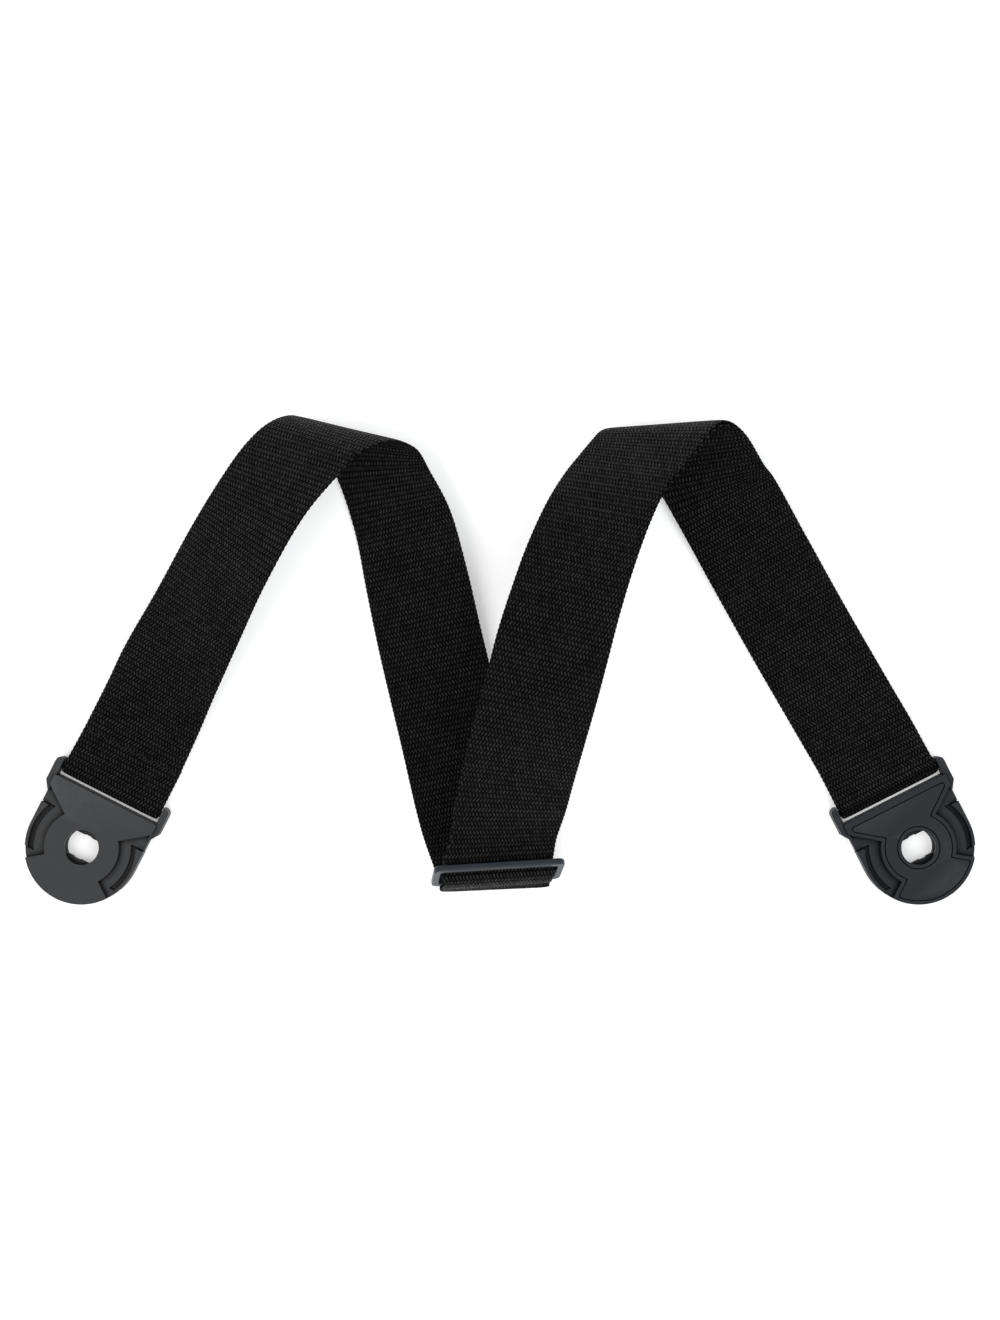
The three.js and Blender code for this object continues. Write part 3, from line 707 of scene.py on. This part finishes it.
LOOP_RADIUS = BAR_RADIUS + GAP + WEBBING_THICKNESS / 2
LOW_LAYER = FACE_Z - LOOP_RADIUS
HIGH_LAYER = FACE_Z + LOOP_RADIUS
STACKED_LAYER = LOW_LAYER + LAYER_PITCH + 0.1
STITCH_Y = BAR_Y + 20
STEPS = 24  # samples of the curve between two rows


def end_row(side, y, height):
    turn = math.radians(END_TURN) * side
    along = Vector((-math.sin(turn), math.cos(turn), 0))
    leftwards = Vector((-math.cos(turn), -math.sin(turn), 0))
    middle = Vector((side * END_HOLE_X, END_HOLE_Y, height)) + along * y
    left = middle + leftwards * WEBBING_HALF
    right = middle - leftwards * WEBBING_HALF
    return (*left, *right)


def round_bar(side, start, steps=32):
    rows = []
    for i in range(steps + 1):
        angle = math.pi * i / steps
        height = FACE_Z + start * LOOP_RADIUS * math.cos(angle)
        rows.append(end_row(side, BAR_Y - LOOP_RADIUS * math.sin(angle), height))
    return np.array(rows)


def slider_row(up, out):
    half = WEBBING_HALF + 0.4
    left = SLIDER @ Vector((-half, up, out))
    right = SLIDER @ Vector((half, up, out))
    return (*left, *right)


def centripetal(points, steps):
    """Centripetal Catmull-Rom points through the given ones."""
    points = np.asarray(points, float)
    first = 2 * points[0] - points[1]
    last = 2 * points[-1] - points[-2]
    padded = np.vstack([first, points, last])
    made = []
    for p0, p1, p2, p3 in zip(padded, padded[1:], padded[2:], padded[3:]):
        d0, d1, d2 = (math.sqrt(np.linalg.norm(b - a)) for a, b in ((p0, p1), (p1, p2), (p2, p3)))
        t1 = ((p1 - p0) / d0 - (p2 - p0) / (d0 + d1) + (p2 - p1) / d1) * d1
        t2 = ((p2 - p1) / d1 - (p3 - p1) / (d1 + d2) + (p3 - p2) / d2) * d1
        for t in np.arange(steps) / steps:
            made.append(
                (2 * t**3 - 3 * t**2 + 1) * p1
                + (t**3 - 2 * t**2 + t) * t1
                + (3 * t**2 - 2 * t**3) * p2
                + (t**3 - t**2) * t2
            )
    return np.array(made + [points[-1]])


def smooth(rows, steps=STEPS):
    rows = np.asarray(rows, float)
    return np.hstack([centripetal(rows[:, :3], steps), centripetal(rows[:, 3:], steps)])


def unit(vectors):
    return vectors / np.linalg.norm(vectors, axis=1)[:, None]


def normals(rows):
    middle = rows[:, :3] + rows[:, 3:]
    return unit(np.cross(np.gradient(middle, axis=0), rows[:, :3] - rows[:, 3:]))


def offset(rows, distance):
    shift = normals(rows) * distance
    return rows + np.hstack([shift, shift])


def lengths(rows):
    """How far along the webbing each row lies."""
    left = np.linalg.norm(np.diff(rows[:, :3], axis=0), axis=1)
    right = np.linalg.norm(np.diff(rows[:, 3:], axis=0), axis=1)
    step = left + right
    return np.concatenate([[0], np.cumsum(step / 2)])


left_tail = [end_row(-1, y, LOW_LAYER) for y in (BAR_Y + TAIL_LENGTH, BAR_Y + 12, BAR_Y + 3)]
left_lead = [
    end_row(-1, BAR_Y + 3, HIGH_LAYER - 0.3),
    end_row(-1, BAR_Y + 10, STACKED_LAYER + 1.6),
    end_row(-1, BAR_Y + 20, STACKED_LAYER),
]
through_slider = [slider_row(*place) for place in THROUGH_SLIDER]
to_slider = LEFT_STRAND + FIRST_PEAK + MIDDLE_STRAND + LOWER_FOLD
from_slider = RIGHT_MIDDLE_STRAND + SECOND_PEAK + RIGHT_STRAND
main_rows = left_lead + to_slider + through_slider + from_slider
main_rows += [end_row(1, BAR_Y + 20, LOW_LAYER - 0.1), end_row(1, BAR_Y + 3, LOW_LAYER)]
between = smooth(main_rows)
tail = np.vstack([smooth(left_tail + [end_row(-1, BAR_Y, LOW_LAYER)]), round_bar(-1, -1)[1:]])
main_path = np.vstack([tail, between, round_bar(1, -1)])


def at_row(index):
    """Where a row of main_rows lies in main_path."""
    return len(tail) + STEPS * index


FIRST_MIDDLE = len(left_lead) + len(LEFT_STRAND) + len(FIRST_PEAK)
FOLD_START = FIRST_MIDDLE + len(MIDDLE_STRAND) - 1
SLIDER_EXIT = len(left_lead) + len(to_slider) + len(through_slider) - 1
RAISED_END = SLIDER_EXIT + 8

RINGS_PER_ROW = 4
MIDDLE_COLUMNS = [-0.8, -0.6, -0.4, -0.2, 0, 0.2, 0.4, 0.6, 0.8]
EDGE_COLUMNS = [0.93, 0.97, 0.992, 1]
COLUMNS = np.array([-x for x in reversed(EDGE_COLUMNS)] + MIDDLE_COLUMNS + EDGE_COLUMNS)


def resample(rows, start=0.0):
    """Rows every quarter of a weave row along the webbing, and how far along each lies."""
    far = lengths(rows)
    spacing = WEAVE_ROW / RINGS_PER_ROW
    count = max(4, round(far[-1] / spacing))
    places = np.linspace(0, far[-1], count + 1)
    even = np.column_stack([np.interp(places, far, rows[:, k]) for k in range(6)])
    return even, places + start


def strip(name, rows, along, pressed=()):
    """A closed band of webbing: ribbed by its weave rows, thinner at its edges and where it is sewn."""
    rib = np.abs(np.sin(np.pi * along / WEAVE_ROW))
    thick = WEBBING_THICKNESS / 2 * (0.84 + 0.16 * rib)
    for place in pressed:
        thick = thick * (1 - 0.3 * np.exp(-(((along - place) / 1.3) ** 2)))
    half = 1 - 0.012 * (1 - rib)
    out = normals(rows)
    middle = (rows[:, :3] + rows[:, 3:]) / 2
    reach = (rows[:, :3] - rows[:, 3:]) / 2
    edge = np.sqrt(np.maximum(1 - np.abs(COLUMNS) ** 14, 0.0)) * 0.9 + 0.1
    loop = [(x, e) for x, e in zip(-COLUMNS, edge)] + [(x, -e) for x, e in zip(COLUMNS, edge[::-1])]
    vertices = []
    for x, e in loop:
        vertices.append(middle + reach * (x * half)[:, None] + out * (thick * e)[:, None])
    count = len(loop)
    vertices = np.stack(vertices, axis=1).reshape(-1, 3)
    rings = len(rows)
    faces = []
    for i in range(rings - 1):
        a = i * count
        for k in range(count):
            b = (k + 1) % count
            faces.append((a + b, a + k, a + count + k, a + count + b))
    faces.append(tuple(range(count)))
    faces.append(tuple(reversed(range((rings - 1) * count, rings * count))))
    made = mesh_object(name, vertices, faces, WEBBING_LOOK)
    uv = made.data.uv_layers.new(name="webbing")
    flat = np.empty((len(vertices), 2))
    flat[:, 0] = np.tile([x * WEBBING_HALF for x, _ in loop], rings) * MM
    flat[:, 1] = np.repeat(along, count) * MM
    corner = np.empty(len(made.data.loops), int)
    made.data.loops.foreach_get("vertex_index", corner)
    uv.data.foreach_set("uv", flat[corner].astype(np.float32).ravel())
    made.data.shade_smooth()
    return made


main_even, main_along = resample(main_path)
main_far = lengths(main_path)
STITCH_PLACE = main_far[len(tail)] + (STITCH_Y - BAR_Y - 3)


def ring_at(index):
    """The even ring nearest to a place in main_path."""
    return int(np.argmin(np.abs(main_along - main_far[index])))


cuts = [0, ring_at(at_row(FIRST_MIDDLE + 1)), ring_at(at_row(FOLD_START)), ring_at(at_row(SLIDER_EXIT))]
cuts += [ring_at(at_row(RAISED_END)), len(main_even) - 1]
names = [
    "webbing_left_strand",
    "webbing_middle_strand",
    "webbing_slider_turn",
    "webbing_raised_strand",
    "webbing_right_strand",
]
main = {}
for name, first, last in zip(names, cuts, cuts[1:]):
    part = slice(first, last + 1)
    main[name] = strip(name, main_even[part], main_along[part], (STITCH_PLACE,))
    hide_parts("webbing")

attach(main["webbing_left_strand"], "strap")
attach(main["webbing_right_strand"], "strap")
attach(main["webbing_slider_turn"], "slider")

# The second layer, from the slider's sewn end over the second peak to the right bar.
joint = STEPS * (SLIDER_EXIT + 1) + STEPS * 2 // 3
behind = offset(between, -LAYER_PITCH)
second_end = [
    behind[-STEPS - 1],
    end_row(1, BAR_Y + 10, STACKED_LAYER + 1.6),
    end_row(1, BAR_Y + 3, HIGH_LAYER - 0.4),
    end_row(1, BAR_Y + 0.4, HIGH_LAYER),
]
second_path = np.vstack([behind[joint : -STEPS - 1], smooth(second_end)])
second_even, second_along = resample(second_path)
second_cut = int(np.argmin(np.abs(second_even[:, 1] - main_even[cuts[4], 1]) + (second_along > 250) * 1e6))
second = {
    "webbing_raised_second_layer": slice(0, second_cut + 1),
    "webbing_right_second_layer": slice(second_cut, len(second_even)),
}
for name, part in second.items():
    second[name] = strip(name, second_even[part], second_along[part])
    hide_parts("webbing_second_layer")
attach(second["webbing_right_second_layer"], "strap")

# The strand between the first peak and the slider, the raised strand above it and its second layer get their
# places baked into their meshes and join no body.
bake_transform(main["webbing_middle_strand"])
for obj in (main["webbing_raised_strand"], second["webbing_raised_second_layer"]):
    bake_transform(obj)

# The sewn end: from the second layer down behind the slider's upper bar, round its centre bar, and back up.
CENTRE_LOOP_RADIUS = SLIDER_CENTRE_BAR_RADIUS + GAP + WEBBING_THICKNESS / 2
centre_turn = []
for degrees in range(10, 250, 45):
    angle = math.radians(degrees)
    up = CENTRE_LOOP_RADIUS * math.cos(angle)
    out = CENTRE_LOOP_RADIUS * math.sin(angle)
    centre_turn.append(slider_row(up, out))
exit_place = STEPS * SLIDER_EXIT
sewn_front = offset(between, -1.3 * LAYER_PITCH)[exit_place : joint : STEPS // 3]
sewn_back = offset(between, -2.6 * LAYER_PITCH)[exit_place : joint - STEPS // 3 : STEPS // 3]
sewn_rows = np.vstack(
    [
        sewn_front[::-1],
        [slider_row(5.8, -5.0), slider_row(3.0, -2.4)],
        centre_turn,
        [slider_row(2.4, -4.9)],
        sewn_back,
    ]
)
sewn_even, sewn_along = resample(smooth(sewn_rows, 8))
sewn = strip("slider_sewn_end_detail", sewn_even, sewn_along)
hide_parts("slider_sewn_end")
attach(sewn, "slider")


# ---------------------------------------------------------------- stitching
THREAD_RADIUS = 0.36
STITCH_HALF_WIDTH = 23.0
STITCH_COUNT = 13


def stitch_row(name, place):
    """A row of slanted stitches: each dips into the webbing at both ends."""
    vertices, faces = [], []
    sides = 8
    steps = 8
    pitch = 2 * STITCH_HALF_WIDTH / STITCH_COUNT
    for n in range(STITCH_COUNT):
        centre = -STITCH_HALF_WIDTH + (n + 0.5) * pitch
        lean = 1 if n % 2 else -1
        line = []
        for t in np.linspace(-1, 1, steps + 1):
            across = centre + 0.55 * pitch * t
            line.append(place(across, lean * 0.75 * t, THREAD_RADIUS * (0.55 - 0.5 * t**4)))
        line = np.array(line)
        direction = unit(np.gradient(line, axis=0))
        up = unit(np.array([place(0, 0, 1.0)]) - np.array([place(0, 0, 0.0)]))
        side = unit(np.cross(direction, up))
        over = np.cross(side, direction)
        base = len(vertices)
        for i, point in enumerate(line):
            radius = THREAD_RADIUS * (1 - 0.55 * abs(2 * i / steps - 1) ** 4)
            for k in range(sides):
                a = 2 * math.pi * k / sides
                vertices.append(point + side[i] * radius * math.cos(a) + over[i] * radius * math.sin(a))
        for i in range(steps):
            for k in range(sides):
                a = base + i * sides + k
                b = base + i * sides + (k + 1) % sides
                faces.append((a, b, b + sides, a + sides))
        faces.append(tuple(reversed(range(base, base + sides))))
        faces.append(tuple(range(base + steps * sides, base + (steps + 1) * sides)))
    made = mesh_object(name, vertices, faces, THREAD_LOOK)
    made.data.shade_smooth()
    return made


def on_left_end(across, along, up):
    height = STACKED_LAYER + WEBBING_THICKNESS / 2 * 0.75 + THREAD_RADIUS + up
    row = np.array(end_row(-1, STITCH_Y + along, height))
    share = 0.5 + across / (2 * WEBBING_HALF)
    return row[:3] * (1 - share) + row[3:] * share


BACK_FACE = offset(between, -2.6 * LAYER_PITCH - WEBBING_THICKNESS / 2 - THREAD_RADIUS)


def behind_slider(across, along, up):
    index = exit_place + STEPS * 5 // 6 + round(along * 3)
    row = BACK_FACE[index] - np.tile(normals(between)[index] * up, 2)
    share = 0.5 + across / (2 * WEBBING_HALF)
    return row[:3] * (1 - share) + row[3:] * share


left_stitching = stitch_row("left_stitching_detail", on_left_end)
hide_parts("left_stitching")
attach(left_stitching, "strap")
slider_stitching = stitch_row("slider_stitching_detail", behind_slider)
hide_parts("slider_stitching")
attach(slider_stitching, "slider")


# ---------------------------------------------------------------- studio
def floor_material():
    g = Graph("studio_floor")
    place = g.node("ShaderNodeTexCoord").outputs["Object"]
    tone = g.noise(place, 3.0, 2.0)
    pale = g.mix(tone, grey(0.86), grey(0.88))
    g.finish(Emission_Color=pale, Emission_Strength=0.3)
    return g.finish(Base_Color=pale, Roughness=0.9, Specular_IOR_Level=0.1)


def studio():
    reach = 4000.0
    corners = [(x, y, 0) for x, y in rectangle(-reach, reach, -reach, reach)]
    floor = mesh_object("floor", corners, [(0, 1, 2, 3)], floor_material())
    for name, place, size, power, tint in (
        ("key_light", (-0.7, -0.25, 1.35), 0.9, 8.0, (1.0, 0.99, 0.97)),
        ("fill_light", (0.9, 0.2, 1.2), 1.2, 9.0, (0.95, 0.98, 1.0)),
        ("front_light", (0.1, -1.0, 0.9), 0.8, 5.0, (0.97, 0.99, 1.0)),
    ):
        lamp = bpy.data.lights.new(name, "AREA")
        lamp.size = size
        lamp.energy = power
        lamp.color = tint
        holder = bpy.data.objects.new(name, lamp)
        holder.location = place
        holder.rotation_euler = Vector(place).to_track_quat("Z", "Y").to_euler()
        bpy.context.scene.collection.objects.link(holder)
    world = bpy.data.worlds.new("studio")
    world.use_nodes = True
    world.node_tree.nodes["Background"].inputs["Color"].default_value = (1, 1, 1, 1)
    world.node_tree.nodes["Background"].inputs["Strength"].default_value = 0.75
    bpy.context.scene.world = world
    bpy.context.scene.view_settings.view_transform = "Standard"


studio()

camera = bpy.data.cameras.new("camera")
camera.sensor_fit = "VERTICAL"
camera.sensor_height = 36.0
camera.lens = 52.3
camera.clip_end = 20.0
viewpoint = bpy.data.objects.new("camera", camera)
viewpoint.location = (0, 0, 0.9)
bpy.context.scene.collection.objects.link(viewpoint)
bpy.context.scene.camera = viewpoint
